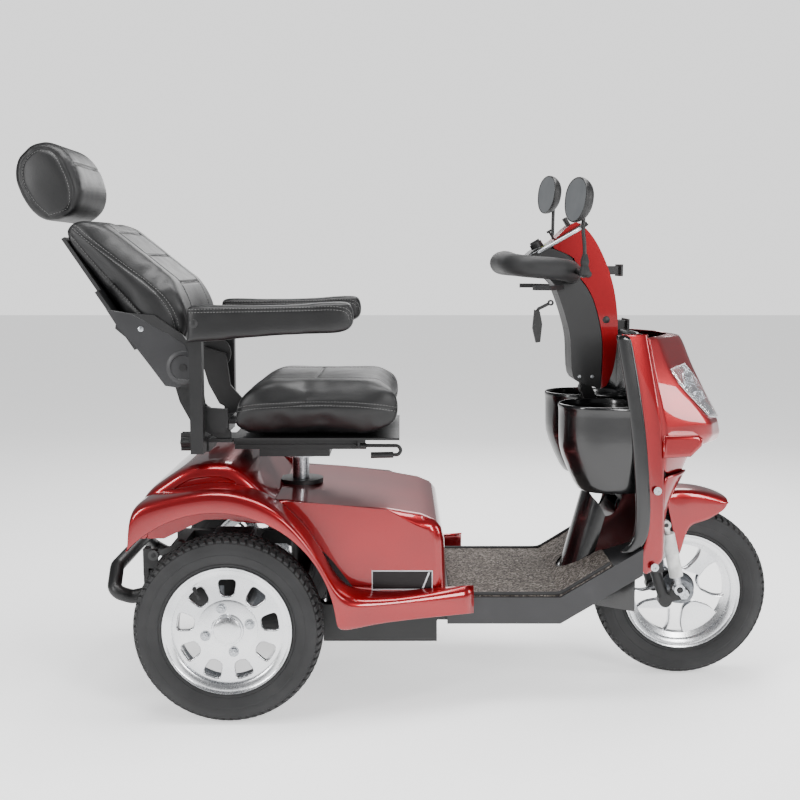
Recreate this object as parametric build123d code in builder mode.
"""Three-wheeled mobility scooter, millimetres, +X forward, +Y to the rider's left, +Z up.

The origin is on the ground under the middle of the overall box. The rear group of pieces
is placed from the rear axle, the front group from the front axle, and the floor spans
between them, so the wheelbase, the track and the tyre size can each be changed alone.
"""
from build123d import *
import os
from math import cos, hypot, radians, sin, sqrt, tan

os.makedirs("parts", exist_ok=True)

# ---------------------------------------------------------------- driving dimensions
wheelbase = 1056
track = 614                  # between the middle planes of the rear tyres
tyre_radius = 207.5
tyre_width = 90
rim_radius = 141.5           # over the rim flanges
bead_radius = 128
rake = 22                    # steering axis from the vertical, degrees
seat_to_axle = 134           # seat post ahead of the rear axle
seat_rail_height = 369.5     # underside of the slide rails above the axles
tiller_pivot_height = 492.5  # tilt pivot above the axles
recline_angle = 31           # backrest from the vertical at rest, degrees

# walls and clearances
panel_wall = 3.5
tube_wall = 2.5
panel_gap = 3
tyre_to_body = 12            # inner side of a rear tyre to the body side
arch_gap = 49.5              # tyre tread to the fender's arch
running_fit = 0.05           # radial, a pin turning or sliding in its bore
moving_gap = 0.5             # between faces that pass each other

# ---------------------------------------------------------------- stations worked out
rear_x = 141.5 - wheelbase / 2
front_x = rear_x + wheelbase
axle_z = tyre_radius
wheel_y = track / 2
body_half = wheel_y - tyre_width / 2 - tyre_to_body
fender_half = wheel_y + tyre_width / 2
floor_half = body_half - 25
cowl_half = floor_half - 5
floor_z = axle_z + 40.5      # top of the floor pan, under the mat
floor_back_x = rear_x + 481
floor_bend_x = front_x - 319
seat_x = rear_x + seat_to_axle
rail_z = axle_z + seat_rail_height
pivot_x = front_x - 237
pivot_z = axle_z + tiller_pivot_height
SIDES = (("left", 1), ("right", -1))


def from_rear(points):
    """Side-view points given from the rear axle."""
    return [(rear_x + x, axle_z + z) for x, z in points]


def from_front(points):
    """Side-view points given from the front axle."""
    return [(front_x + x, axle_z + z) for x, z in points]


def from_seat(points):
    """Side-view points given from the seat post, at the underside of the slide rails."""
    return [(seat_x + x, rail_z + z) for x, z in points]


def from_pivot(points):
    """Side-view points given from the tiller's tilt pivot."""
    return [(pivot_x + x, pivot_z + z) for x, z in points]


def span(side, near, far):
    """Lowest and highest y of a stretch that lies between two distances out on one side."""
    return tuple(sorted((side * near, side * far)))


def slab(points, low, high, mode=Mode.ADD):
    """A side-view outline made solid from y = low to y = high."""
    with BuildSketch(Plane.XZ.offset(-high)) as outline:
        Polygon(*points, align=None)
    extrude(outline.sketch, amount=high - low, mode=mode)


def disc(x, z, radius, low, high, mode=Mode.ADD):
    """A round bar along Y, from y = low to y = high."""
    with BuildSketch(Plane.XZ.offset(-high)) as outline:
        with Locations((x, z)):
            Circle(radius)
    extrude(outline.sketch, amount=high - low, mode=mode)


def bar(start, end, radius, mode=Mode.ADD):
    """A round bar from one point to another."""
    run = Vector(*end) - Vector(*start)
    with BuildSketch(Plane(origin=start, z_dir=run)) as section:
        Circle(radius)
    extrude(section.sketch, amount=run.length, mode=mode)


def block(xs, ys, zs, mode=Mode.ADD):
    """A square-edged block between two values on each axis."""
    middle = tuple((a + b) / 2 for a, b in (xs, ys, zs))
    with Locations(middle):
        Box(abs(xs[1] - xs[0]), abs(ys[1] - ys[0]), abs(zs[1] - zs[0]), mode=mode)


def band(line, width):
    """The outline of a strip of even width along a bent side-view line."""
    left, right = [], []
    for i, (x, z) in enumerate(line):
        before = line[max(i - 1, 0)]
        after = line[min(i + 1, len(line) - 1)]
        ways = []
        for a, b in ((before, (x, z)), ((x, z), after)):
            length = hypot(b[0] - a[0], b[1] - a[1])
            if length > 0:
                ways.append(((b[0] - a[0]) / length, (b[1] - a[1]) / length))
        tx = sum(w[0] for w in ways) / len(ways)
        tz = sum(w[1] for w in ways) / len(ways)
        size = tx * tx + tz * tz
        left.append((x - tz * width / 2 / size, z + tx * width / 2 / size))
        right.append((x + tz * width / 2 / size, z - tx * width / 2 / size))
    return left + right[::-1]


def inset(points, by):
    """A closed side-view outline moved inwards by an even distance."""
    count = len(points)
    area = sum(a[0] * b[1] - b[0] * a[1] for a, b in zip(points[-1:] + points, points))
    turn = 1 if area > 0 else -1
    moved = []
    for i in range(count):
        before, here, after = points[i - 1], points[i], points[(i + 1) % count]
        ways = []
        for a, b in ((before, here), (here, after)):
            length = hypot(b[0] - a[0], b[1] - a[1])
            ways.append((-turn * (b[1] - a[1]) / length, turn * (b[0] - a[0]) / length))
        nx, nz = ways[0][0] + ways[1][0], ways[0][1] + ways[1][1]
        size = (nx * nx + nz * nz) / 2
        moved.append((here[0] + nx * by / size, here[1] + nz * by / size))
    return moved


def bent_tube(points, radii, radius, wall=0):
    """A tube along straight runs joined by arcs; wall 0 makes it solid."""
    with BuildLine() as route:
        FilletPolyline(*points, radius=radii)
    start = Plane(origin=route.line @ 0, z_dir=route.line % 0)
    with BuildSketch(start) as section:
        Circle(radius)
        if wall:
            Circle(radius - wall, mode=Mode.SUBTRACT)
    sweep(section.sketch, path=route.line)


def finish(piece, name):
    """Label a finished piece and write its STEP file."""
    piece.part.label = name
    export_step(piece.part, f"parts/{name}.step")


# ---------------------------------------------------------------- steering axis
steer_up = Vector(-sin(radians(rake)), 0, cos(radians(rake)))
steer_origin = Vector(pivot_x, 0, pivot_z)


def on_axis(t):
    """The point on the steering axis at a distance t above the tilt pivot."""
    return steer_origin + steer_up * t


def axis_at(z):
    """The x of the steering axis at a height."""
    return pivot_x + (pivot_z - z) * tan(radians(rake))


steerer_radius = 15
head_tube_radius = 24
head_tube_low = -232
head_tube_high = -50

# ---------------------------------------------------------------- main frame
rail_width = 25
rail_height = 35
rail_y = body_half - 52
rail_line = from_rear([(-194, 82), (83, 82), (198, 2)])
rail_line += from_front([(-325, 2), (-143, 104)])
upright_x = front_x - 100
upright_out = rail_y - rail_width / 2 + 4.5
upright_in = upright_out - rail_width
upright_low = axle_z + 90
upright_high = axle_z + 400
cross_tube_radius = 14
cross_tube_heights = (axle_z + 294, axle_z + 390)
socket_radius = 26
seat_post_radius = 20
socket_low = axle_z + 70
socket_high = axle_z + 264.5
flange_radius = 54
axle_tube_radius = 28
controller_plate_z = axle_z + 99.5

with BuildPart() as main_frame:
    for name, side in SIDES:
        inner, outer = rail_y - rail_width / 2, rail_y + rail_width / 2
        low, high = span(side, inner, outer)
        slab(band(rail_line, rail_height), low, high)
        # each upright stands inboard of its rail, inside the cowl
        low, high = span(side, upright_in, upright_out)
        block((upright_x - 17.5, upright_x + 17.5), (low, high), (upright_low, upright_high))
        # foot that carries the rail's front end out to the upright
        slab(from_front([(-160, 88), (-140, 118), (-82, 118), (-82, 88)]), low, high)
        # hanger from the rail down to the axle tube
        low, high = span(side, rail_y - 10, rail_y + 10)
        block((rear_x - 25, rear_x + 25), (low, high), (axle_z + 12, axle_z + 66))
    # cross members, from the rear to the front
    for x, low, high in (
        (rear_x - 177, axle_z + 64.5, axle_z + 99.5),
        (rear_x - 40, axle_z + 80, axle_z + 99.5),
        (rear_x + 480, axle_z - 15.5, axle_z + 19.5),
        (floor_bend_x - 20, axle_z - 15.5, axle_z + 19.5),
    ):
        block((x - 14, x + 14), (-rail_y, rail_y), (low, high))
    plate_under = controller_plate_z - 4
    block((rear_x - 90, rear_x + 20), (-rail_y, rail_y), (plate_under, controller_plate_z))
    # seat socket on its own cross member
    block((seat_x - 26, seat_x + 26), (-rail_y, rail_y), (axle_z + 40, axle_z + 72))
    for side in (-1, 1):
        block(
            (seat_x - 26, seat_x + 26),
            tuple(sorted((side * (rail_y - 12.5), side * (rail_y + 12.5)))),
            (axle_z + 30, axle_z + 72),
        )
    bar((seat_x, 0, axle_z + 60), (seat_x, 0, socket_high), socket_radius)
    bar((seat_x, 0, socket_high), (seat_x, 0, socket_high + 10), flange_radius)
    # head tube, held by a gusset plate between two cross tubes
    bar(on_axis(head_tube_low), on_axis(head_tube_high), head_tube_radius)
    for z in cross_tube_heights:
        bar((upright_x, -upright_in - 5, z), (upright_x, upright_in + 5, z), cross_tube_radius)
    low, high = cross_tube_heights
    gusset = [
        (axis_at(low) + 6, low - 8),
        (upright_x, low - 8),
        (upright_x, high + 8),
        (axis_at(high) + 6, high + 8),
    ]
    slab(gusset, -5, 5)
    # bores and hollow rails
    steerer_bore = steerer_radius + running_fit
    post_bore = seat_post_radius + running_fit
    bar(on_axis(head_tube_low - 5), on_axis(head_tube_high + 5), steerer_bore, Mode.SUBTRACT)
    bar((seat_x, 0, socket_low), (seat_x, 0, socket_high + 15), post_bore, Mode.SUBTRACT)
    disc(rear_x, axle_z, axle_tube_radius + 0.1, -rail_y - 30, rail_y + 30, Mode.SUBTRACT)
    for side in (-1, 1):
        inner = rail_y - rail_width / 2 + tube_wall
        outer = rail_y + rail_width / 2 - tube_wall
        low, high = span(side, inner, outer)
        slab(band(rail_line, rail_height - 2 * tube_wall), low, high, Mode.SUBTRACT)
        low, high = span(side, upright_in + tube_wall, upright_out - tube_wall)
        block(
            (upright_x - 15, upright_x + 15),
            (low, high),
            (upright_low + 60, upright_high - tube_wall),
            Mode.SUBTRACT,
        )
finish(main_frame, "main_frame")

# ---------------------------------------------------------------- battery tray, batteries, controller
tray_half = rail_y - rail_width / 2 - panel_gap
tray_back = rear_x + 198
tray_front = rear_x + 459
tray_floor = axle_z - 78.5
tray_wall = 3
rail_under = axle_z + 2 - rail_height / 2

with BuildPart() as battery_tray:
    block((tray_back, tray_front), (-tray_half, tray_half), (tray_floor, rail_under))
    fillet(battery_tray.edges().filter_by(Axis.X).group_by(Axis.Z)[0], 12)
    block(
        (tray_back + tray_wall, tray_front - tray_wall),
        (-tray_half + tray_wall, tray_half - tray_wall),
        (tray_floor + tray_wall, rail_under + 1),
        Mode.SUBTRACT,
    )
    # flanges that bolt up under the rails
    for side in (-1, 1):
        low, high = span(side, tray_half - tray_wall, rail_y + 10)
        block((tray_back, tray_front), (low, high), (rail_under - tray_wall, rail_under))
finish(battery_tray, "battery_tray")

battery_gap = 12
battery_length = 250
battery_width = tray_half - tray_wall - battery_gap / 2 - 4
battery_height = 215

with BuildPart() as battery_packs:
    low = tray_floor + tray_wall
    for side in (-1, 1):
        near = side * battery_gap / 2
        far = side * (battery_gap / 2 + battery_width)
        xs = (tray_back + 5, tray_back + 5 + battery_length)
        block(xs, tuple(sorted((near, far))), (low + 12, low + 12 + battery_height))
        for end in (xs[0] + 30, xs[1] - 30):
            bar((end, (near + far) / 2, low + 200), (end, (near + far) / 2, low + 240), 9)
    fillet(battery_packs.edges().filter_by(Axis.Z).filter_by(lambda e: e.length > 100), 8)
    # the lowest part is a foot narrower than the case, clear of the tray's rounded corners
    for side in (-1, 1):
        near = side * (battery_gap / 2 + 12)
        far = side * (battery_gap / 2 + battery_width - 14)
        block((xs[0] + 10, xs[1] - 10), tuple(sorted((near, far))), (low, low + 13))
finish(battery_packs, "battery_packs")

with BuildPart() as motor_controller:
    block((rear_x - 85, rear_x + 15), (-70, 70), (controller_plate_z, controller_plate_z + 30))
    with Locations([(rear_x - 35, y, controller_plate_z + 34) for y in range(-60, 61, 15)]):
        Box(92, 4, 10)
finish(motor_controller, "motor_controller")

# ---------------------------------------------------------------- transaxle, motor, freewheel lever
stub_radius = 12.5
hub_inner_y = wheel_y - 39
case_radius = 68
motor_radius = 52

with BuildPart() as transaxle:
    disc(rear_x, axle_z, case_radius, -48, 48)
    fillet(transaxle.edges().filter_by(GeomType.CIRCLE), 14)
    disc(rear_x, axle_z, axle_tube_radius, -hub_inner_y + 8, hub_inner_y - 8)
    disc(rear_x, axle_z, stub_radius, -wheel_y - 32, wheel_y + 32)
    bar((rear_x - 50, 0, axle_z), (rear_x - 82, 0, axle_z), 44)
finish(transaxle, "transaxle")

with BuildPart() as drive_motor:
    bar((rear_x - 82, 0, axle_z), (rear_x - 215, 0, axle_z), motor_radius)
    bar((rear_x - 82, 0, axle_z), (rear_x - 90, 0, axle_z), motor_radius + 6)
    bar((rear_x - 215, 0, axle_z), (rear_x - 240, 0, axle_z), 38)
    with Locations([(rear_x - x, 0, axle_z + motor_radius + 1) for x in range(105, 201, 12)]):
        Box(4, 50, 8)
finish(drive_motor, "drive_motor")

freewheel_x = rear_x - 180
freewheel_z = axle_z + 138
freewheel_pin = 5

with BuildPart() as freewheel_lever:
    low, high = -rail_y - 30, -rail_y - 18
    disc(freewheel_x, freewheel_z, 12, low, high)
    slab(band([(freewheel_x, freewheel_z), (freewheel_x + 62, freewheel_z + 22)], 12), low + 3, high - 3)
    disc(freewheel_x + 60, freewheel_z + 21, 13, low - 6, high + 2)
    disc(freewheel_x, freewheel_z, freewheel_pin + running_fit, low - 1, high + 1, Mode.SUBTRACT)
finish(freewheel_lever, "freewheel_lever")

# ---------------------------------------------------------------- rear bumper
bumper_radius = 16
bumper_y = rail_y + 17

with BuildPart() as rear_bumper:
    corner_x = rear_x - 278
    points = [
        (rear_x - 194, -rail_y, axle_z + 44),
        (rear_x - 235, -rail_y - 5, axle_z + 36),
        (corner_x + 4, -bumper_y, axle_z + 52),
        (corner_x - 4, -bumper_y + 70, axle_z + 92),
        (corner_x - 4, bumper_y - 70, axle_z + 92),
        (corner_x + 4, bumper_y, axle_z + 52),
        (rear_x - 235, rail_y + 5, axle_z + 36),
        (rear_x - 194, rail_y, axle_z + 44),
    ]
    bent_tube(points, [25, 22, 35, 35, 22, 25], bumper_radius, tube_wall)
    # plates that bolt the loop under the rails' rear ends, and the pin of the freewheel lever
    for side in (-1, 1):
        low, high = span(side, rail_y - 14, rail_y + 14)
        block((rear_x - 206, rear_x - 194.2), (low, high), (axle_z + 30, axle_z + 99))
    block((rear_x - 194.2, rear_x - 172), (-rail_y - 13.5, -rail_y - 17), (axle_z + 105, axle_z + 150))
    block((rear_x - 206, rear_x - 194.2), (-rail_y - 17, -rail_y + 14), (axle_z + 90, axle_z + 150))
    disc(freewheel_x, freewheel_z, freewheel_pin, -rail_y - 31, -rail_y - 14)
finish(rear_bumper, "rear_bumper")

# ---------------------------------------------------------------- rear bodywork
arch_radius = tyre_radius + arch_gap
arch_x = rear_x - 20
arch_z = axle_z + 5
arch_top = arch_radius - 257       # extra height that a larger arch needs
fender_in = body_half + panel_gap

shroud_line = from_rear([(287, 50), (479, 50), (475, 194), (468, 212), (458, 224), (434, 231),
                         (346, 247), (225, 258), (125, 266), (-10, 266), (-10, 235), (287, 225)])

with BuildPart() as rear_shroud:
    slab(shroud_line, -body_half, body_half)
    fillet(rear_shroud.edges().filter_by(Axis.Y).group_by(Axis.X)[-1], 2)
    fillet(rear_shroud.edges().filter_by(lambda e: abs(e.center().Y) > body_half - 1
           and e.center().Z > axle_z + 200 and e.center().X > rear_x), 8)
    inner = from_rear([(-20, 200), (-20, 262), (125, 262), (225, 254), (345, 243), (432, 227),
                       (455, 220), (464, 210), (471, 192), (475, 40), (280, 40), (280, 200)])
    slab(inner, -body_half + panel_wall, body_half - panel_wall, Mode.SUBTRACT)
    block((rear_x - 30, rear_x + 283), (-body_half - 1, body_half + 1), (axle_z, axle_z + 235), Mode.SUBTRACT)
    bar((seat_x, 0, axle_z + 200), (seat_x, 0, axle_z + 300), socket_radius + 2, Mode.SUBTRACT)
    bar((seat_x, 0, socket_high - 2), (seat_x, 0, axle_z + 300), flange_radius + 2, Mode.SUBTRACT)
finish(rear_shroud, "rear_shroud")

tail_fillet = 5

crease = [(-214, arch_top + 285), (-162, arch_top + 280), (-111, arch_top + 297), (-73, arch_top + 309),
          (-19, arch_top + 311), (35, arch_top + 303), (89, arch_top + 281), (129, arch_top + 253),
          (161, arch_top + 228), (215, arch_top + 130)]
fender_rear_x = -210
skirt_front_x = 540


def fender_outline(by):
    """The fender in side view, or the same line inside its skin and open below."""
    top = [(x + (by if x < -100 else 0), z - by) for x, z in crease]
    top[-1] = (215 - by, arch_top + 130)
    front = [(268 - by * 0.3, 66 - by), (372, 64 - by), (skirt_front_x - by, 76 - by)]
    low = [(skirt_front_x, 15), (504, 16), (318, 7), (267, -3), (233, -3)]
    back = [(-199, 142), (fender_rear_x, 176)]
    if by:
        low = [(skirt_front_x - by, -40), (233, -40)]
        back = [(-199, -40), (fender_rear_x + by, -40)]
    return from_rear(top + front + low + back)


skirt_taper_x = rear_x + 240
skirt_end_x = rear_x + skirt_front_x + 5
skirt_end_y = fender_in + 11


def skirt_cut(side, by):
    """Takes away what lies outside the skirt, which runs inward towards the floor."""
    outside = [(skirt_taper_x, fender_half - by), (skirt_end_x, skirt_end_y - by), (skirt_end_x, fender_half + 1),
               (skirt_taper_x, fender_half + 1)]
    with BuildSketch(Plane.XY.offset(axle_z - 60)) as wedge:
        with BuildLine():
            Polyline([(x, side * y) for x, y in outside], close=True)
        make_face()
    extrude(wedge.sketch, amount=arch_top + 500, mode=Mode.SUBTRACT)


for name, side in SIDES:
    with BuildPart() as fender_hollow:
        low, high = span(side, fender_in - 5, fender_half - panel_wall)
        slab(fender_outline(panel_wall), low, high)
        skirt_cut(side, panel_wall)
    with BuildPart() as rear_fender:
        low, high = span(side, fender_in, fender_half)
        slab(fender_outline(0), low, high)
        disc(arch_x, arch_z, arch_radius, low - 1, high + 1, Mode.SUBTRACT)
        skirt_cut(side, 0)
        add(fender_hollow.part, mode=Mode.SUBTRACT)
    finish(rear_fender, f"rear_fender_{name}")

tail_back = -216
tail_line = [(-13, 352), (-85, 348), (-118, 334), (-152, 310), (-178, 292), (-202, 268),
             (-213, 236), (tail_back, 205), (tail_back, 178), (-150, 178), (-13, 269)]

with BuildPart() as tail_panel:
    slab(from_rear(tail_line), -body_half, body_half)
    fillet(tail_panel.edges().filter_by(lambda e: abs(e.center().Y) > body_half - 1
           and e.center().Z > axle_z + 250), tail_fillet)
    inner = [(-17, 348), (-84, 344), (-116, 330), (-150, 306), (-175, 288), (-199, 265),
             (-209, 235), (tail_back + panel_wall, 204), (tail_back + panel_wall, 170), (-150, 170),
             (-17, 260)]
    slab(from_rear(inner), -body_half + panel_wall, body_half - panel_wall, Mode.SUBTRACT)
finish(tail_panel, "tail_panel")

with BuildPart() as tail_lights:
    for side in (-1, 1):
        low, high = span(side, body_half - 95, body_half - 25)
        block((rear_x + tail_back - 10, rear_x + tail_back), (low, high), (axle_z + 182, axle_z + 204))
    fillet(tail_lights.edges().filter_by(Axis.X), 8)
finish(tail_lights, "tail_lights")

# ---------------------------------------------------------------- floor pan and mat
floor_rise = 0.605                # slope of the toe board
sill_depth = 61
toe_end = 184                     # length of the sloped part, along X
toe_front_x = floor_bend_x + toe_end
spine_half = 62                   # half width of the wheel well cover at its nose
wheel_room = 132                  # half width kept free for the steered front wheel
spine_low_x = front_x - 296       # nose of the wheel well cover at the floor
spine_high_x = front_x - 235      # and under the bins
shield_x = front_x - 132          # rear face of the leg shield's back panel
shield_wall = 4
bin_low_z = axle_z + 268


def well_section(grow, nose_x, z):
    """Plan outline of the wheel well: a round nose that widens towards the front."""
    with BuildSketch(Plane.XY.offset(z)) as plan:
        with BuildLine():
            half = spine_half + grow
            front = shield_x - 1.5
            wide = wheel_room + 4 + grow
            a = (nose_x + spine_half, half)
            b = (nose_x + spine_half, -half)
            ThreePointArc(a, (nose_x - grow, 0), b)
            Line(b, (front, -wide))
            Line((front, -wide), (front, wide))
            Line((front, wide), a)
        make_face()
    return plan.sketch


def well_shape(grow, mode):
    """The wheel well as a solid, larger all round by a distance."""
    drop = 60
    slope = (spine_high_x - spine_low_x) / (bin_low_z - floor_z)
    low = well_section(grow, spine_low_x - drop * slope, floor_z - drop)
    high = well_section(grow, spine_high_x - slope, bin_low_z - 1)
    loft([low, high], ruled=True, mode=mode)


def floor_line(drop, back, front_trim):
    """Side view of the floor from the body to the toe board's end, dropped by a distance."""
    rise = (toe_end - front_trim) * floor_rise
    return [
        (back, floor_z - drop),
        (floor_bend_x, floor_z - drop),
        (toe_front_x - front_trim, floor_z + rise - drop),
    ]


with BuildPart() as floor_pan:
    top = floor_line(0, floor_back_x, 0)
    under = floor_line(sill_depth, floor_back_x, 0)
    slab(top + under[::-1], -floor_half, floor_half)
    skin = floor_line(panel_wall, floor_back_x - 5, -5)
    deep = floor_line(sill_depth + 20, floor_back_x - 5, -5)
    inner_half = floor_half - panel_wall
    slab(skin + deep[::-1], -inner_half, inner_half, Mode.SUBTRACT)
    well_shape(panel_gap / 2, Mode.SUBTRACT)
finish(floor_pan, "floor_pan")

mat_thickness = 5
mat_half = floor_half - 8
mat_slope_trim = 68

with BuildPart() as floor_mat:
    upper = floor_line(-mat_thickness, floor_back_x + 6, mat_slope_trim)
    lower = floor_line(0, floor_back_x + 6, mat_slope_trim)
    slab(upper + lower[::-1], -mat_half, mat_half)
    well_shape(9, Mode.SUBTRACT)
finish(floor_mat, "floor_mat")

# ---------------------------------------------------------------- leg shield with bins, and the spine
with BuildPart() as wheel_well_cover:
    well_shape(0, Mode.ADD)
    well_shape(-panel_wall, Mode.SUBTRACT)
    top = well_section(0, spine_high_x, bin_low_z - 1 - panel_wall)
    extrude(top, amount=panel_wall)
    # room for the crown of the fork under the bins
    bar(on_axis(head_tube_low - 80), on_axis(head_tube_low + 60), 95, Mode.SUBTRACT)
finish(wheel_well_cover, "wheel_well_cover")

bin_wall = 3
bin_inner_y = 33
bin_outer_y = cowl_half - 3
bin_radius = (bin_outer_y - bin_inner_y) / 2
bin_y = (bin_outer_y + bin_inner_y) / 2
bin_x = front_x - 316 + bin_radius
bin_back_x = bin_x - bin_radius
bin_front_x = shield_x - moving_gap
bin_rim_z = axle_z + 470.5
bin_slope_z = axle_z + 360
bin_slope_x = 57                  # run of the sloping underside
shield_top = axle_z + 632
cowl_back_x = shield_x + shield_wall + 1

with BuildPart() as bin_cavities:
    with BuildSketch(Plane.XY.offset(bin_low_z + bin_wall)) as cups:
        for side in (-1, 1):
            with Locations((bin_x, side * bin_y)):
                Circle(bin_radius - bin_wall)
    extrude(cups.sketch, amount=bin_rim_z - bin_low_z)
    slab(
        [
            (bin_back_x - 5, bin_slope_z + 8),
            (bin_back_x, bin_slope_z + 8),
            (bin_back_x + bin_slope_x + 2, bin_low_z + bin_wall),
            (bin_back_x - 5, bin_low_z + bin_wall - 5),
        ],
        -cowl_half,
        cowl_half,
        Mode.SUBTRACT,
    )

with BuildPart() as leg_shield:
    with BuildSketch(Plane.XY.offset(bin_low_z)) as cups:
        for side in (-1, 1):
            with Locations((bin_x, side * bin_y)):
                Circle(bin_radius)
            with Locations(((bin_x + bin_front_x) / 2, side * bin_y)):
                Rectangle(bin_front_x - bin_x, 1.64 * bin_radius)
    extrude(cups.sketch, amount=bin_rim_z - bin_low_z)
    # the bins' undersides slope forward to leave room for the feet
    slab(
        [
            (bin_back_x - 5, bin_slope_z),
            (bin_back_x, bin_slope_z),
            (bin_back_x + bin_slope_x, bin_low_z),
            (bin_back_x + bin_slope_x, bin_low_z - 5),
            (bin_back_x - 5, bin_low_z - 5),
        ],
        -cowl_half,
        cowl_half,
        Mode.SUBTRACT,
    )
    add(bin_cavities.part, mode=Mode.SUBTRACT)
    # wall between the bins, behind the head tube, half on each bin
    for side in (-1, 1):
        block((bin_x - 41, bin_x - 37), span(side, moving_gap / 2, 44), (bin_low_z, bin_rim_z - 40))
    # back panel behind the cowl, open for the wheel and for the frame's gusset
    block((shield_x, shield_x + shield_wall), (-cowl_half + 1, cowl_half - 1), (axle_z + 135, shield_top))
    wide = wheel_room + 4
    block((shield_x - 1, shield_x + 5), (-wide, wide), (axle_z + 130, bin_low_z - 2), Mode.SUBTRACT)
    block((shield_x - 1, shield_x + 5), (-40, 40), (bin_low_z - 3, bin_rim_z - 20), Mode.SUBTRACT)
    fillet(leg_shield.edges().filter_by(Axis.X).group_by(Axis.Z)[-1], 40)
finish(leg_shield, "leg_shield")

# ---------------------------------------------------------------- front cowl, headlight, screws
cowl_sections = [(60, 150), (250, 190), (385, 216), (490, 176), (538, 151), (628, 112)]
cowl_opening = from_front([(-160, 40), (-160, 118), (-131, 90), (-86, 115), (-62, 214), (-40, 258),
                           (20, 368), (52, 381), (70, 388), (200, 388), (200, 40)])


def cowl_solid(grow, back, top, mode):
    """The cowl as a stack of half ellipses, larger all round by a distance."""
    plans = []
    for height, reach in cowl_sections:
        last = height == cowl_sections[-1][0]
        with BuildSketch(Plane.XY.offset(axle_z + height + (top if last else 0))) as plan:
            with Locations((cowl_back_x, 0)):
                Ellipse(reach + grow, cowl_half + grow)
            with Locations((back - 400, 0)):
                Rectangle(800, 4 * cowl_half, mode=Mode.SUBTRACT)
        plans.append(plan.sketch)
    loft(plans, ruled=True, mode=mode)


screw_places = [(front_x - 106, axle_z + 284), (front_x - 108, axle_z + 109)]
screw_hole = 5

with BuildPart() as front_cowl:
    cowl_solid(0, cowl_back_x, 0, Mode.ADD)
    cowl_solid(-panel_wall, cowl_back_x - 5, -panel_wall, Mode.SUBTRACT)
    slab(cowl_opening, -cowl_half - 10, cowl_half + 10, Mode.SUBTRACT)
    for x, z in screw_places:
        disc(x, z, screw_hole, -cowl_half - 10, cowl_half + 10, Mode.SUBTRACT)
finish(front_cowl, "front_cowl")

lens_outline = from_front([(-70, 552), (-34, 549), (14, 514), (52, 468), (66, 440), (55, 420),
                           (20, 448), (-30, 505)])
lens_thickness = 3

with BuildPart() as headlight:
    cowl_solid(lens_thickness, cowl_back_x, lens_thickness, Mode.ADD)
    cowl_solid(0.2, cowl_back_x - 5, 20, Mode.SUBTRACT)
    slab(lens_outline, -cowl_half - 20, cowl_half + 20, Mode.INTERSECT)
    block((front_x - 100, front_x + 120), (-22, 22), (axle_z + 380, axle_z + 600), Mode.SUBTRACT)
finish(headlight, "headlight")

with BuildPart() as panel_screws:
    for x, z in screw_places:
        for side in (-1, 1):
            low, high = span(side, cowl_half - 22, cowl_half + 0.5)
            disc(x, z, screw_hole - 1, low, high)
            low, high = span(side, cowl_half + 0.5, cowl_half + 4)
            disc(x, z, 9, low, high)
            low, high = span(side, cowl_half + 2, cowl_half + 7)
            disc(x, z, 3, low, high, Mode.SUBTRACT)
finish(panel_screws, "panel_screws")

# ---------------------------------------------------------------- wheels
rim_half = 38
flange_lip = 2
hub_radius = 30
stub_bore = stub_radius + running_fit
front_axle_radius = 8
nut_circle = 100


def rim_barrel(y):
    """The rim's barrel with its two flanges and a shallow drop centre, about the wheel's axis."""
    with BuildSketch(Plane.YZ.offset(0)) as section:
        with BuildLine():
            Polyline(
                (-rim_half, rim_radius),
                (-rim_half + 3, rim_radius),
                (-rim_half + 4, bead_radius),
                (-14, bead_radius),
                (-10, bead_radius - 12),
                (10, bead_radius - 12),
                (14, bead_radius),
                (rim_half - 4, bead_radius),
                (rim_half - 3, rim_radius),
                (rim_half, rim_radius),
                (rim_half, rim_radius - flange_lip),
                (rim_half - 2, bead_radius - 4),
                (16, bead_radius - 4),
                (12, bead_radius - 16),
                (-12, bead_radius - 16),
                (-16, bead_radius - 4),
                (-rim_half + 2, bead_radius - 4),
                (-rim_half, rim_radius - flange_lip),
                close=True,
            )
        make_face()
    turned = revolve(section.sketch, axis=Axis.Y, mode=Mode.PRIVATE)
    return turned


def wheel_window(x, y, z, half_low, half_high, r_low, r_high, angle, depth):
    """One window through a wheel's disc: a tapered slot with rounded corners."""
    with BuildSketch(Plane.XZ.offset(-y - depth)) as window:
        Polygon(
            (-half_low, r_low), (-half_high, r_high), (half_high, r_high), (half_low, r_low), align=None
        )
        fillet(window.vertices(), 5)
    turned = window.sketch.moved(Location((x, 0, z), (0, angle, 0)))
    extrude(turned, amount=2 * depth, mode=Mode.SUBTRACT)


for name, side in SIDES:
    y = side * wheel_y
    with BuildPart() as rear_rim:
        add(rim_barrel(y).moved(Location((rear_x, y, axle_z))))
        # disc near the outer side, with a raised centre plate and a hub boss
        low, high = sorted((y + side * 14, y + side * 22))
        disc(rear_x, axle_z, bead_radius - 2, low, high)
        low, high = sorted((y + side * 12, y + side * 26))
        disc(rear_x, axle_z, 66, low, high)
        low, high = sorted((y - side * 38, y + side * 34))
        disc(rear_x, axle_z, hub_radius, low, high)
        for i in range(9):
            wheel_window(rear_x, y, axle_z, 10, 15, 78, 110, 40 * i, 40)
        for i in range(4):
            turn = radians(15 + 90 * i)
            x, z = rear_x + nut_circle / 2 * cos(turn), axle_z + nut_circle / 2 * sin(turn)
            disc(x, z, 6, y - 40, y + 40, Mode.SUBTRACT)
        low, high = sorted((y - side * 40, y + side * 32.4))
        disc(rear_x, axle_z, stub_bore, low, high, Mode.SUBTRACT)
    finish(rear_rim, f"rear_rim_{name}")

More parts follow.
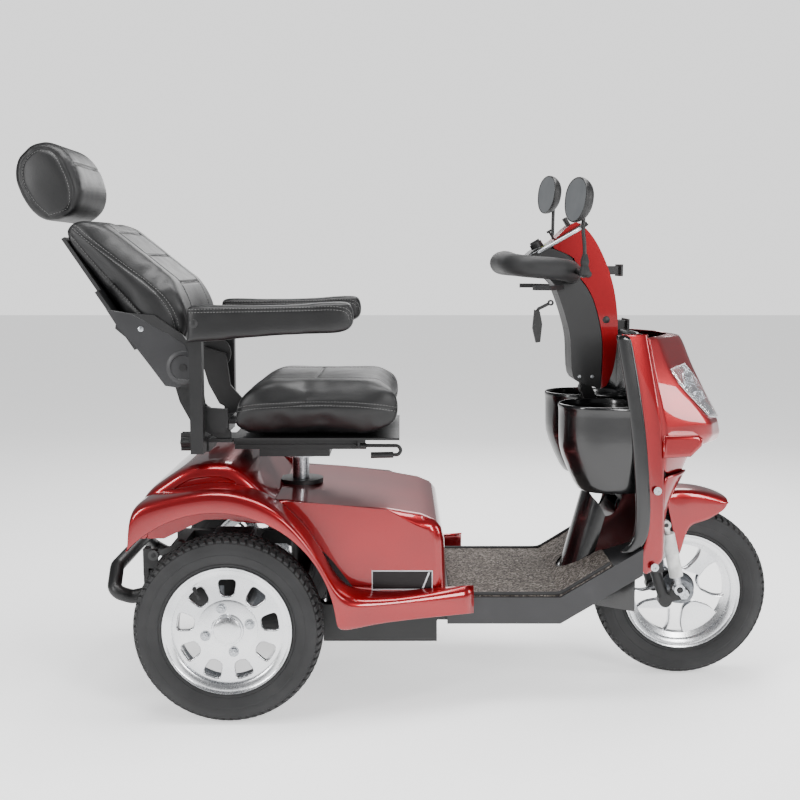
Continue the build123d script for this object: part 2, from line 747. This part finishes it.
with BuildPart() as front_rim:
    add(rim_barrel(0).moved(Location((front_x, 0, axle_z))))
    disc(front_x, axle_z, bead_radius - 10, -6, 6)
    disc(front_x, axle_z, 34, -40, 40)
    for i in range(5):
        wheel_window(front_x, 0, axle_z, 13, 48, 44, 106, 72 * i + 4, 20)
    disc(front_x, axle_z, front_axle_radius + running_fit, -41, 41, Mode.SUBTRACT)
finish(front_rim, "front_rim")


def tyre(x, y):
    """A tyre turned about its axle, open towards the rim between its two beads."""
    bead = rim_half - 4.2
    half = tyre_width / 2
    shoulder = tyre_radius - 10
    with BuildSketch(Plane.YZ) as section:
        with BuildLine():
            seat = bead_radius + 0.1
            outer = Spline((bead, seat), (bead - 0.3, rim_radius - 2), (half, rim_radius + 30),
                           (half - 8, shoulder), (0, tyre_radius), (8 - half, shoulder),
                           (-half, rim_radius + 30), (0.3 - bead, rim_radius - 2), (-bead, seat))
            Line((-bead, seat), (-bead + 9, seat))
            Spline((-bead + 9, seat), (-bead + 10, rim_radius), (-half + 10, rim_radius + 30),
                   (-half + 16, shoulder - 10), (0, tyre_radius - 11), (half - 16, shoulder - 10),
                   (half - 10, rim_radius + 30), (bead - 10, rim_radius), (bead - 9, seat))
            Line((bead - 9, seat), (bead, seat))
        make_face()
    turned = revolve(section.sketch, axis=Axis.Y, mode=Mode.PRIVATE)
    return turned.moved(Location((x, y, axle_z)))


for name, x, y in (
    ("rear_tyre_left", rear_x, wheel_y),
    ("rear_tyre_right", rear_x, -wheel_y),
    ("front_tyre", front_x, 0),
):
    with BuildPart() as tyre_piece:
        add(tyre(x, y))
    finish(tyre_piece, name)

# ---------------------------------------------------------------- fork, links, shocks, front fender
fork_y = 72
fork_leg_radius = 13
link_pin_radius = 7
link_in = 46
link_out = 58
link_pivot = (front_x - 49, axle_z - 9.5)
shock_top = (front_x - 54, axle_z + 176.5)
shock_low = (front_x - 18, axle_z + 19.5)
shock_y = 86
shock_pin_radius = 5
shock_slack = 2.5                 # the open pivot at the rod's lower eye
sleeve_radius = 16
rod_radius = 8
crown_t = -268
across = Vector(cos(radians(rake)), 0, sin(radians(rake)))


def around_axis(t, half_length, half_width):
    """Side-view corners of a block square to the steering axis."""
    corners = []
    for a, b in ((-1, -1), (-1, 1), (1, 1), (1, -1)):
        point = on_axis(t + a * half_length) + across * (b * half_width)
        corners.append((point.X, point.Z))
    return corners


yoke_in = 16
yoke_out = 24
tilt_pin_radius = 8

with BuildPart() as front_fork:
    bar(on_axis(crown_t), on_axis(-42), steerer_radius)
    bar(on_axis(-48), on_axis(-38), 26)
    for side in (-1, 1):
        low, high = span(side, yoke_in, yoke_out)
        slab(around_axis(-18, 24, 14), low, high)
        disc(pivot_x, pivot_z, 14, low, high)
        # legs, feet, link pins and the shock's upper bracket
        leg_top = on_axis(crown_t) + Vector(0, side * fork_y, 0)
        bar(leg_top, (link_pivot[0], side * fork_y, link_pivot[1]), fork_leg_radius)
        low, high = span(side, fork_y - 12, fork_y + 12)
        disc(link_pivot[0], link_pivot[1], 16, low, high)
        low, high = span(side, link_in - 1, fork_y)
        disc(link_pivot[0], link_pivot[1], link_pin_radius, low, high)
        low, high = span(side, fork_y - 5, fork_y + 5)
        slab(band([(shock_top[0] - 60, shock_top[1]), shock_top], 22), low, high)
        disc(shock_top[0], shock_top[1], 11, low, high)
        low, high = span(side, fork_y, shock_y + 9)
        disc(shock_top[0], shock_top[1], shock_pin_radius, low, high)
    slab(around_axis(crown_t, 12, 22), -fork_y - 12, fork_y + 12)
    # stay that holds the fender
    stay_z = axle_z + 254.5
    block((front_x - 140, front_x - 20), (-18, 18), (stay_z, stay_z + 5))
finish(front_fork, "front_fork")

with BuildPart() as front_links:
    for side in (-1, 1):
        low, high = span(side, link_in, link_out)
        axle = (front_x, axle_z)
        slab(band([link_pivot, axle], 26), low, high)
        disc(link_pivot[0], link_pivot[1], 13, low, high)
        disc(axle[0], axle[1], 16, low, high)
        slab(band([(front_x - 24, axle_z), shock_low], 18), low, high)
        disc(shock_low[0], shock_low[1], 10, low, high)
        disc(link_pivot[0], link_pivot[1], link_pin_radius + running_fit, low - 1, high + 1, Mode.SUBTRACT)
        disc(axle[0], axle[1], front_axle_radius + 0.02, low - 1, high + 1, Mode.SUBTRACT)
        low, high = span(side, link_out - 2, shock_y + 9)
        disc(shock_low[0], shock_low[1], shock_pin_radius, low, high)
finish(front_links, "front_links")

with BuildPart() as front_axle:
    disc(front_x, axle_z, front_axle_radius, -link_out - 12, link_out + 12)
    for side in (-1, 1):
        low, high = span(side, link_out, link_out + 8)
        with BuildSketch(Plane.XZ.offset(-high)) as nut:
            with Locations((front_x, axle_z)):
                RegularPolygon(13, 6)
        extrude(nut.sketch, amount=high - low)
finish(front_axle, "front_axle")


def along_shock(distance, side):
    """A point on a shock's middle line, measured down from its upper eye."""
    length = hypot(shock_low[0] - shock_top[0], shock_low[1] - shock_top[1])
    f = distance / length
    return (
        shock_top[0] + (shock_low[0] - shock_top[0]) * f,
        side * shock_y,
        shock_top[1] + (shock_low[1] - shock_top[1]) * f,
    )


with BuildPart() as shock_bodies:
    for side in (-1, 1):
        low, high = span(side, fork_y + 5.5, shock_y + 8)
        disc(shock_top[0], shock_top[1], 11, low, high)
        bar(along_shock(8, side), along_shock(24, side), 7)
        bar(along_shock(22, side), along_shock(128, side), sleeve_radius)
        bar(along_shock(40, side), along_shock(129, side), rod_radius + running_fit, Mode.SUBTRACT)
        disc(shock_top[0], shock_top[1], shock_pin_radius + running_fit, low - 1, high + 1, Mode.SUBTRACT)
finish(shock_bodies, "shock_bodies")

with BuildPart() as shock_rods:
    for side in (-1, 1):
        low, high = span(side, link_out + 14, shock_y + 8)
        bar(along_shock(60, side), along_shock(155, side), rod_radius)
        disc(shock_low[0], shock_low[1], 13, low, high)
        disc(shock_low[0], shock_low[1], shock_pin_radius + shock_slack, low - 1, high + 1, Mode.SUBTRACT)
finish(shock_rods, "shock_rods")

fender_radius = tyre_radius + 46.5
fender_skin = 3.5
front_fender_half = 57
fender_shape = from_front([(-46, 228), (-28, 262), (46, 262), (100, 244), (100, 226), (92, 206),
                           (52, 181), (0, 166), (-12, 74), (-26, 132)])

with BuildPart() as front_fender:
    disc(front_x, axle_z, fender_radius, -front_fender_half, front_fender_half)
    fillet(front_fender.edges().filter_by(GeomType.CIRCLE), fender_skin - 0.5)
    inside = front_fender_half - fender_skin
    disc(front_x, axle_z, fender_radius - fender_skin, -inside, inside, Mode.SUBTRACT)
    slab(fender_shape, -front_fender_half - 1, front_fender_half + 1, Mode.INTERSECT)
finish(front_fender, "front_fender")

# ---------------------------------------------------------------- tiller
column_radius = 17
column_top = (pivot_x - 41, pivot_z + 266)
cover_half = 52
cover_wall = 3
stem_z = pivot_z + 275            # middle of the handlebar's ends
stem_x = pivot_x - 50
handle_radius = 17
throttle_x = pivot_x - 68
throttle_z = pivot_z + 242
lug_half = yoke_in - 0.3
bracket_places = [(pivot_x + 78, pivot_z + 281), (pivot_x + 96, pivot_z + 153)]
bracket_bolt_y = 32
bracket_hole = 3.3                # for M6 bolts
tilt_eye = (pivot_x - 90, pivot_z + 205)
tilt_pin = 3

with BuildPart() as tiller_column:
    disc(pivot_x, pivot_z, 15, -lug_half, lug_half)
    bar((pivot_x, 0, pivot_z), (column_top[0], 0, column_top[1]), 13)
    bar((pivot_x - 5, 0, pivot_z + 32), (column_top[0], 0, column_top[1]), column_radius)
    # head block between the handlebar's ends, with the throttle's pin under it
    block((stem_x - 20, stem_x + 26), (-45, 45), (stem_z - 14, stem_z + 18))
    block((throttle_x - 7, stem_x + 12), (-12, 12), (throttle_z - 19, throttle_z - 14))
    bar((throttle_x, 0, throttle_z - 16), (throttle_x, 0, throttle_z + 14), 4)
    # two arms that reach through the front cover to carry a basket
    for x, z in bracket_places:
        block((stem_x, x), (-26, -20), (z - 10, z + 10))
        block((stem_x, x), (20, 26), (z - 10, z + 10))
        block((x - 5, x), (-38, 38), (z - 14, z + 14))
    block((stem_x + 8, stem_x + 40), (-26, 26), (pivot_z + 143, pivot_z + 163))
    for x, z in bracket_places:
        for y in (-bracket_bolt_y, bracket_bolt_y):
            bar((x - 12, y, z), (x + 6, y, z), bracket_hole, Mode.SUBTRACT)
    disc(pivot_x, pivot_z, tilt_pin_radius + running_fit, -20, 20, Mode.SUBTRACT)
finish(tiller_column, "tiller_column")

console_low = (pivot_x - 146, pivot_z + 314)
console_high = (pivot_x - 12, pivot_z + 394)
console_half = 72
console_thick = 9
console_plane = Plane(
    origin=(console_low[0], 0, console_low[1]),
    x_dir=(console_high[0] - console_low[0], 0, console_high[1] - console_low[1]),
    z_dir=(-(console_high[1] - console_low[1]), 0, console_high[0] - console_low[0]),
)
console_length = hypot(console_high[0] - console_low[0], console_high[1] - console_low[1])


def under_console(x):
    """Height, above the tilt pivot, of the covers' top edge under the console."""
    slope = (console_high[1] - console_low[1]) / (console_high[0] - console_low[0])
    drop = console_thick * sqrt(1 + slope * slope) + moving_gap
    return console_low[1] - pivot_z + slope * (pivot_x + x - console_low[0]) - drop


rear_cover_line = from_pivot([(-35, 16), (-46, 120), (-78, 210), (-100, 248), (-134, 284),
                              (-141, under_console(-141)), (-74, under_console(-74)), (-74, 308),
                              (-2, 305), (-2, 262), (20, 213), (23, 166), (33, 2), (1, -5)])
front_cover_line = from_pivot([(-71, under_console(-71)), (-16, under_console(-16)), (12, 378),
                               (19, 366), (59, 251), (81, 139), (78, 60), (66, 4), (36, 2),
                               (26, 166), (23, 213), (1, 263), (1, 308), (-71, 311)])


with BuildPart() as tiller_rear_cover:
    slab(rear_cover_line, -cover_half, cover_half)
    inside = cover_half - cover_wall
    slab(inset(rear_cover_line, cover_wall), -inside, inside, Mode.SUBTRACT)
    # open towards the front cover and at the foot
    for mouth in (
        [(15, 213), (18, 166), (28, 5), (36, 5), (36, 166), (26, 220)],
        [(-33, 21), (30, 6), (36, -10), (-10, -10), (-50, 10)],
        [(-5, 302), (-5, 262), (16, 214), (26, 214), (6, 262), (6, 302)],
    ):
        slab(from_pivot(mouth), -inside, inside, Mode.SUBTRACT)
    disc(stem_x, stem_z, handle_radius + 1, -cover_half - 1, cover_half + 1, Mode.SUBTRACT)
    # slots for the throttle's arms and the tilt lever's lug
    across_cover = (-cover_half - 1, cover_half + 1)
    slot_z = (throttle_z - 8, throttle_z + 8)
    block((throttle_x - 20, throttle_x + 20), across_cover, slot_z, Mode.SUBTRACT)
    block((tilt_eye[0] - 8, tilt_eye[0] + 14), (-27, -21), (tilt_eye[1] - 9, tilt_eye[1] + 9))
    disc(tilt_eye[0], tilt_eye[1], tilt_pin, -38, -21)
finish(tiller_rear_cover, "tiller_rear_cover")

with BuildPart() as tiller_front_cover:
    slab(front_cover_line, -cover_half, cover_half)
    edges = tiller_front_cover.edges().filter_by(lambda e: abs(e.center().Y) > cover_half - 1)
    fillet(edges.filter_by(lambda e: e.center().X > pivot_x + 40 and e.center().Z > pivot_z + 10), 12)
    slab(inset(front_cover_line, cover_wall), -inside, inside, Mode.SUBTRACT)
    # open towards the rear cover, at the foot and under the console
    for mouth in (
        [(20, 166), (17, 213), (-5, 263), (-5, 300), (8, 300), (8, 268), (32, 213), (33, 166), (42, 8), (30, 8)],
        [(30, -5), (30, 8), (70, 10), (72, -5)],
        [(-72, 306), (-72, 346), (-60, 346), (-60, 306)],
        [(-60, 306), (-60, 316), (-4, 316), (-4, 306)],
    ):
        slab(from_pivot(mouth), -inside, inside, Mode.SUBTRACT)
    for x, z in bracket_places:
        block((x - 50, x + 20), (-28, 28), (z - 12, z + 12), Mode.SUBTRACT)
finish(tiller_front_cover, "tiller_front_cover")

dial_at = 34
toggle_at = 76
key_at = 122


def on_console(along, above):
    """A point above the console's face on the middle line."""
    return console_plane.from_local_coords((along, 0, above))


with BuildPart() as console_panel:
    with BuildSketch(console_plane.offset(-console_thick)) as face:
        with Locations((console_length / 2, 0)):
            RectangleRounded(console_length, 2 * console_half, 26)
    extrude(face.sketch, amount=console_thick)
    # pins and wells of the three controls
    bar(on_console(dial_at, 0), on_console(dial_at, 8), 4)
    bar(on_console(toggle_at, -console_thick - 1), on_console(toggle_at, 1), 9, Mode.SUBTRACT)
    bar(on_console(key_at, 0), on_console(key_at, 5), 12)
    bar(on_console(key_at, -console_thick - 1), on_console(key_at, 6), 5, Mode.SUBTRACT)
    low = on_console(toggle_at, -4)
    disc(low.X, low.Z, 1.5, -9.5, 9.5)
finish(console_panel, "console_panel")

with BuildPart() as speed_dial:
    bar(on_console(dial_at, 0.4), on_console(dial_at, 16), 15)
    bar(on_console(dial_at, 0), on_console(dial_at, 9), 4 + running_fit, Mode.SUBTRACT)
    with BuildSketch(console_plane.offset(13)) as grip:
        with Locations((dial_at, 0)):
            SlotOverall(24, 7)
    extrude(grip.sketch, amount=8)
finish(speed_dial, "speed_dial")

with BuildPart() as light_toggle:
    low = on_console(toggle_at, -4)
    disc(low.X, low.Z, 4.5, -6, 6)
    bar(on_console(toggle_at, -3), on_console(toggle_at, 22), 2.6)
    with BuildSketch(console_plane.offset(20)) as tip:
        with Locations((toggle_at, 0)):
            Circle(6)
    extrude(tip.sketch, amount=5)
    disc(low.X, low.Z, 1.5 + running_fit, -7, 7, Mode.SUBTRACT)
finish(light_toggle, "light_toggle")

with BuildPart() as ignition_key:
    bar(on_console(key_at, -6), on_console(key_at, 8), 5 - running_fit)
    with BuildSketch(console_plane.offset(7)) as bow:
        with Locations((key_at, 0)):
            RectangleRounded(9, 26, 3)
    extrude(bow.sketch, amount=24)
finish(ignition_key, "ignition_key")

mirror_bar_x = pivot_x - 48
mirror_bar_y = 250
mirror_bar_z = pivot_z + 283

with BuildPart() as handlebar:
    for side in (-1, 1):
        y = side * 45
        points = [
            (stem_x, y, stem_z),
            (stem_x, side * 84, stem_z),
            (stem_x - 60, side * 188, stem_z + 6),
            (pivot_x - 205, side * 202, stem_z + 12),
            (pivot_x - 209, side * 90, stem_z + 30),
            (pivot_x - 208, side * 0.01, stem_z + 32),
        ]
        bent_tube(points, [40, 42, 42, 60], handle_radius)
        # arm that carries the mirror's ball joint
        bar((mirror_bar_x, side * 60, stem_z), (mirror_bar_x + 2, side * mirror_bar_y, mirror_bar_z), 7)
        bar(
            (mirror_bar_x + 2, side * mirror_bar_y, mirror_bar_z - 9),
            (mirror_bar_x + 2, side * mirror_bar_y, mirror_bar_z + 9),
            11,
        )
        bar(
            (mirror_bar_x + 2, side * mirror_bar_y, mirror_bar_z - 10),
            (mirror_bar_x + 2, side * mirror_bar_y, mirror_bar_z + 10),
            5 + running_fit,
            Mode.SUBTRACT,
        )
finish(handlebar, "handlebar")

paddle_y = 160
with BuildPart() as throttle_lever:
    bar((throttle_x, 0, throttle_z - 13), (throttle_x, 0, throttle_z + 13), 8)
    for side in (-1, 1):
        with BuildSketch(Plane.XY.offset(throttle_z - 5)) as arm:
            with BuildLine():
                Polyline(
                    (throttle_x - 4, 0),
                    (throttle_x + 4, 0),
                    (throttle_x + 4, side * 66),
                    (throttle_x - 42, side * (paddle_y + 22)),
                    (throttle_x - 74, side * (paddle_y + 14)),
                    (throttle_x - 78, side * (paddle_y - 16)),
                    (throttle_x - 44, side * (paddle_y - 20)),
                    (throttle_x - 4, side * 60),
                    close=True,
                )
            make_face()
        extrude(arm.sketch, amount=10)
    bar((throttle_x, 0, throttle_z - 20), (throttle_x, 0, throttle_z + 20), 4 + running_fit, Mode.SUBTRACT)
finish(throttle_lever, "throttle_lever")

with BuildPart() as tilt_lever:
    eye = tilt_eye
    disc(eye[0], eye[1], 7, -37, -27.5)
    slab(band([eye, (eye[0] - 28, eye[1] - 14), (eye[0] - 33, eye[1] - 22)], 7), -36, -28.5)
    slab(
        [(eye[0] - 38, eye[1] - 16), (eye[0] - 26, eye[1] - 20), (eye[0] - 20, eye[1] - 50),
         (eye[0] - 24, eye[1] - 92), (eye[0] - 34, eye[1] - 94), (eye[0] - 42, eye[1] - 60)],
        -41, -23,
    )
    disc(eye[0], eye[1], tilt_pin + running_fit, -42, -23, Mode.SUBTRACT)
finish(tilt_lever, "tilt_lever")

mirror_lift = {"left": 190, "right": 150}
mirror_turn = radians(28)       # both heads are turned to the rider's right

for name, side in SIDES:
    foot = Vector(mirror_bar_x + 2, side * mirror_bar_y, mirror_bar_z)
    head = foot + Vector(-24, 0, mirror_lift[name])
    look = (-cos(mirror_turn), -sin(mirror_turn), 0.1)
    facing = Plane(origin=head, x_dir=(0, side, 0), z_dir=look)
    with BuildPart() as mirror:
        bar(foot - Vector(0, 0, 9), foot + Vector(0, 0, 24), 5)
        with Locations(foot + Vector(0, 0, 21)):
            Sphere(9.5)
        bar(foot + Vector(0, 0, 22), head + Vector(12, 0, -30), 4)
        with BuildSketch(facing.offset(-14)) as rear:
            Ellipse(40, 34)
        with BuildSketch(facing) as face:
            with Locations((4, 0)):
                Ellipse(58, 46)
        loft([rear.sketch, face.sketch])
        with BuildSketch(facing.offset(-3)) as glass:
            with Locations((4, 0)):
                Ellipse(54, 42)
        extrude(glass.sketch, amount=5, mode=Mode.SUBTRACT)
    finish(mirror, f"mirror_{name}")

# ---------------------------------------------------------------- seat base
post_top = rail_z - 28
swivel_radius = 62
rail_half = 150
pan_half = 200
pan_z = rail_z + 26
lower_rail_high = rail_z + 11

with BuildPart() as seat_post:
    bar((seat_x, 0, socket_low + 8), (seat_x, 0, post_top), seat_post_radius)
    bar((seat_x, 0, post_top - 8), (seat_x, 0, post_top), swivel_radius)
    bar((seat_x, 0, post_top), (seat_x, 0, post_top + 16), 10)
finish(seat_post, "seat_post")

swivel_pin = (seat_x + 66, -62)

with BuildPart() as seat_base:
    base_low = post_top + moving_gap
    block((seat_x - 80, seat_x + 80), (-rail_half - 14, rail_half + 14), (base_low + 11, rail_z))
    bar((seat_x, 0, base_low), (seat_x, 0, rail_z), swivel_radius)
    for side in (-1, 1):
        low, high = span(side, rail_half - 13, rail_half + 13)
        block((seat_x - 136, seat_x + 161), (low, high), (rail_z, lower_rail_high))
    bar((seat_x, 0, base_low - 1), (seat_x, 0, rail_z + 1), 10 + running_fit, Mode.SUBTRACT)
    bar((swivel_pin[0], swivel_pin[1], rail_z - 1), (swivel_pin[0], swivel_pin[1], rail_z + 9), 3)
finish(seat_base, "seat_base")

with BuildPart() as swivel_lever:
    x, y = swivel_pin
    bar((x, y, rail_z + 0.5), (x, y, rail_z + 8), 8)
    points = [(x + 4, y, rail_z + 5), (x + 40, y, rail_z + 4.5), (x + 50, y - 14, rail_z + 4),
              (x + 40, y - 28, rail_z + 4.5), (x + 14, y - 27, rail_z + 5)]
    bent_tube(points, [8, 9, 8], 3)
    bar((x, y, rail_z), (x, y, rail_z + 9), 3 + running_fit, Mode.SUBTRACT)
finish(swivel_lever, "swivel_lever")

hinge = (seat_x - 240, rail_z + 191)
hinge_pin_radius = 8
pan_plate_in = 190
pan_plate_out = 200
armrest_x = seat_x - 205
armrest_tube = 28
receiver_z = rail_z + 18
lever_eye = (seat_x - 190, rail_z + 92)
receiver_in = 100
receiver_out = 205
knob_y = 160
knob_screw = 4

with BuildPart() as seat_pan:
    # upper rails, pan, and the plates that carry the recline hinge
    for side in (-1, 1):
        low, high = span(side, rail_half - 11, rail_half + 11)
        block((seat_x - 139, seat_x + 150), (low, high), (lower_rail_high + moving_gap, pan_z))
        low, high = span(side, pan_plate_in, pan_plate_out)
        plate = from_seat([(-139, 26), (-139, 44), (-196, 110), (-206, 191), (-262, 208), (-274, 191),
                           (-252, 113), (-225, 62), (-160, 26)])
        slab(plate, low, high)
        low, high = span(side, pan_plate_out - 6, pan_plate_out + 20)
        disc(hinge[0], hinge[1], hinge_pin_radius, low, high)
        low, high = span(side, receiver_in, receiver_out)
        reach = armrest_tube / 2 + 3.5
        xs, zs = (armrest_x - reach, armrest_x + reach), (receiver_z - reach, receiver_z + reach)
        block(xs, (low, high), zs)
        block((armrest_x, seat_x - 135), (low, high), (pan_z - 4, pan_z + 4))
    block((seat_x - 139, seat_x + 239), (-pan_half, pan_half), (pan_z, pan_z + 5))
    for side in (-1, 1):
        bore = armrest_tube / 2 + 0.3
        low, high = span(side, receiver_in + 4, receiver_out + 40)
        xs, zs = (armrest_x - bore, armrest_x + bore), (receiver_z - bore, receiver_z + bore)
        block(xs, (low, high), zs, Mode.SUBTRACT)
        tip = (armrest_x, side * knob_y, receiver_z)
        bar((armrest_x - 30, side * knob_y, receiver_z), tip, knob_screw + running_fit, Mode.SUBTRACT)
    # lugs for the slide release bar and the recline lever's pin
    block((seat_x + 150, seat_x + 162), (-188, -172), (pan_z - 8, pan_z))
    disc(lever_eye[0], lever_eye[1], 4, -pan_plate_out - 16, -pan_plate_out + 4)
    slab(band([(seat_x - 225, rail_z + 88), lever_eye], 16), -pan_plate_out, -pan_plate_in)
    block((seat_x + 144, seat_x + 150), (-185, -175), (pan_z - 22, pan_z))
    bar((seat_x + 140, -180, pan_z - 16), (seat_x + 162, -180, pan_z - 16), 3)
finish(seat_pan, "seat_pan")

with BuildPart() as slide_release_bar:
    z = pan_z - 16
    bar((seat_x + 150.5, -180, z), (seat_x + 164, -180, z), 7)
    points = [(seat_x + 160, -180, z + 1), (seat_x + 236, -182, z + 1), (seat_x + 243, -184, z - 9),
              (seat_x + 236, -186, z - 19), (seat_x + 176, -187, z - 20)]
    bent_tube(points, [8, 8, 8], 4)
    bar((seat_x + 225, -186, z - 19.2), (seat_x + 174, -187, z - 20), 7)
    bar((seat_x + 150, -180, z), (seat_x + 166, -180, z), 3 + running_fit, Mode.SUBTRACT)
finish(slide_release_bar, "slide_release_bar")

with BuildPart() as recline_lever:
    eye = lever_eye
    low, high = -pan_plate_out - 15, -pan_plate_out - 1
    disc(eye[0], eye[1], 12, low, high)
    slab([(eye[0] - 8, eye[1] + 9), (eye[0] + 46, eye[1] + 6), (eye[0] + 48, eye[1] - 34),
          (eye[0] + 38, eye[1] - 46), (eye[0] + 14, eye[1] - 46), (eye[0] + 6, eye[1] - 34)], low, high)
    disc(eye[0], eye[1], 4 + running_fit, low - 1, high + 1, Mode.SUBTRACT)
finish(recline_lever, "recline_lever")

cushion_half = 226
cushion_line = from_seat([(-128, 47), (-128, 100), (-112, 136), (-60, 150), (40, 152), (180, 148),
                          (232, 142), (240, 118), (242, 92), (236, 62), (160, 46)])

with BuildPart() as seat_cushion:
    slab(cushion_line, -cushion_half, cushion_half)
    fillet(seat_cushion.edges().filter_by(lambda e: abs(e.center().Y) > cushion_half - 1), 14)
    # hollow under the cushion that sits over the pan's plates
    room = pan_half + 0.5
    block((seat_x - 130, seat_x + 240), (-room, room), (rail_z + 20, pan_z + 5.5), Mode.SUBTRACT)
finish(seat_cushion, "seat_cushion")

# ---------------------------------------------------------------- backrest and headrest
lean = radians(recline_angle)
back_up = Vector(-sin(lean), 0, cos(lean))
back_out = Vector(-cos(lean), 0, -sin(lean))


def on_back(up, behind):
    """A side-view point measured up the backrest and behind it, from the recline hinge."""
    return (
        hinge[0] - sin(lean) * up - cos(lean) * behind,
        hinge[1] + cos(lean) * up - sin(lean) * behind,
    )


back_half = 204
plate_in = 206
plate_out = 217
plate_line = [on_back(u, b) for u, b in ((-30, 10), (-34, -14), (0, -44), (60, -38), (130, -8),
                                         (178, 58), (150, 82), (60, 52), (10, 42))]

with BuildPart() as backrest_frame:
    for side in (-1, 1):
        low, high = span(side, plate_in, plate_out)
        slab(plate_line, low, high)
        disc(hinge[0], hinge[1], 44, low, high)
        disc(hinge[0], hinge[1], hinge_pin_radius + running_fit, low - 1, high + 1, Mode.SUBTRACT)
    low = [on_back(u, b) for u, b in ((88, 62), (88, 71), (380, 84), (380, 76))]
    slab(low, -plate_out, plate_out)
    shift = [on_back(u, b) for u, b in ((240, 40), (240, 95), (390, 95), (390, 40))]
    for side in (-1, 1):
        low, high = span(side, back_half - 14, plate_out + 5)
        slab(shift, low, high, Mode.SUBTRACT)
finish(backrest_frame, "backrest_frame")

cushion_back = [on_back(u, b) for u, b in ((30, 54), (88, 61.5), (386, 75.5), (402, 66), (405, 40),
                                           (384, 12), (196, -62), (150, -76), (100, -72), (60, -50))]
headrest_y = 60
headrest_rod = 5

with BuildPart() as backrest_cushion:
    slab(cushion_back, -back_half, back_half)
    fillet(backrest_cushion.edges().filter_by(lambda e: abs(e.center().Y) > back_half - 1), 12)
    for y in (-headrest_y, headrest_y):
        low, high = on_back(260, 46), on_back(430, 46)
        bar((low[0], y, low[1]), (high[0], y, high[1]), headrest_rod + 0.6, Mode.SUBTRACT)
finish(backrest_cushion, "backrest_cushion")

headrest_half = 128
headrest_line = [on_back(u, b) for u, b in ((437, 108), (424, 60), (432, 20), (466, 2), (512, -10),
                                            (556, -14), (598, 10), (606, 36), (590, 78), (566, 108),
                                            (510, 124), (470, 124))]

with BuildPart() as headrest:
    slab(headrest_line, -headrest_half, headrest_half)
    fillet(headrest.edges().filter_by(lambda e: abs(e.center().Y) > headrest_half - 1), 12)
    for y in (-headrest_y, headrest_y):
        low, high = on_back(280, 46), on_back(440, 46)
        bar((low[0], y, low[1]), (high[0], y, high[1]), headrest_rod)
finish(headrest, "headrest")

# ---------------------------------------------------------------- armrests
armrest_in = 222
armrest_out = 272
post_in = 232
armrest_pivot_z = rail_z + 291
armrest_pin_radius = 5
armrest_line = from_seat([(-223, 330), (-223, 247), (24, 263), (118, 272), (140, 284), (142, 309),
                          (130, 338)])

for name, side in SIDES:
    half = armrest_tube / 2
    post_out = post_in + armrest_tube
    low, high = span(side, post_in, post_out)
    with BuildPart() as armrest_post:
        block((armrest_x - half, armrest_x + half), (low, high), (receiver_z - half, armrest_pivot_z))
        disc(armrest_x, armrest_pivot_z, half, low, high)
        inward = sorted((side * (receiver_in + 10), side * post_out))
        block((armrest_x - half, armrest_x + half), tuple(inward), (receiver_z - half, receiver_z + half))
        disc(armrest_x, armrest_pivot_z, armrest_pin_radius + running_fit, low - 1, high + 1, Mode.SUBTRACT)
    finish(armrest_post, f"armrest_post_{name}")

    outer = sorted((side * armrest_in, side * armrest_out))
    with BuildPart() as armrest:
        slab(armrest_line, outer[0], outer[1])
        fillet(armrest.edges().filter_by(lambda e: e.center().Z > armrest_pivot_z + 38
               and abs(abs(e.center().Y) - (armrest_in + armrest_out) / 2) > 20), 10)
        gap = (low - moving_gap, high + moving_gap)
        zs = (armrest_pivot_z - 80, armrest_pivot_z + half + 5)
        block((armrest_x - 40, armrest_x + half + 1), gap, zs, Mode.SUBTRACT)
        disc(armrest_x, armrest_pivot_z, armrest_pin_radius, outer[0] + 2, outer[1] - 2)
    finish(armrest, f"armrest_{name}")

    with BuildPart() as knob:
        x = armrest_x - half - 3.5
        bar((x + 2, side * knob_y, receiver_z), (x - 10, side * knob_y, receiver_z), knob_screw)
        bar((x - 6, side * knob_y, receiver_z), (x - 34, side * knob_y, receiver_z), 18)
        for i in range(6):
            turn = radians(60 * i)
            centre = (side * knob_y + 18 * cos(turn), receiver_z + 18 * sin(turn))
            bar((x - 6, centre[0], centre[1]), (x - 34, centre[0], centre[1]), 5)
    finish(knob, f"armrest_knob_{name}")
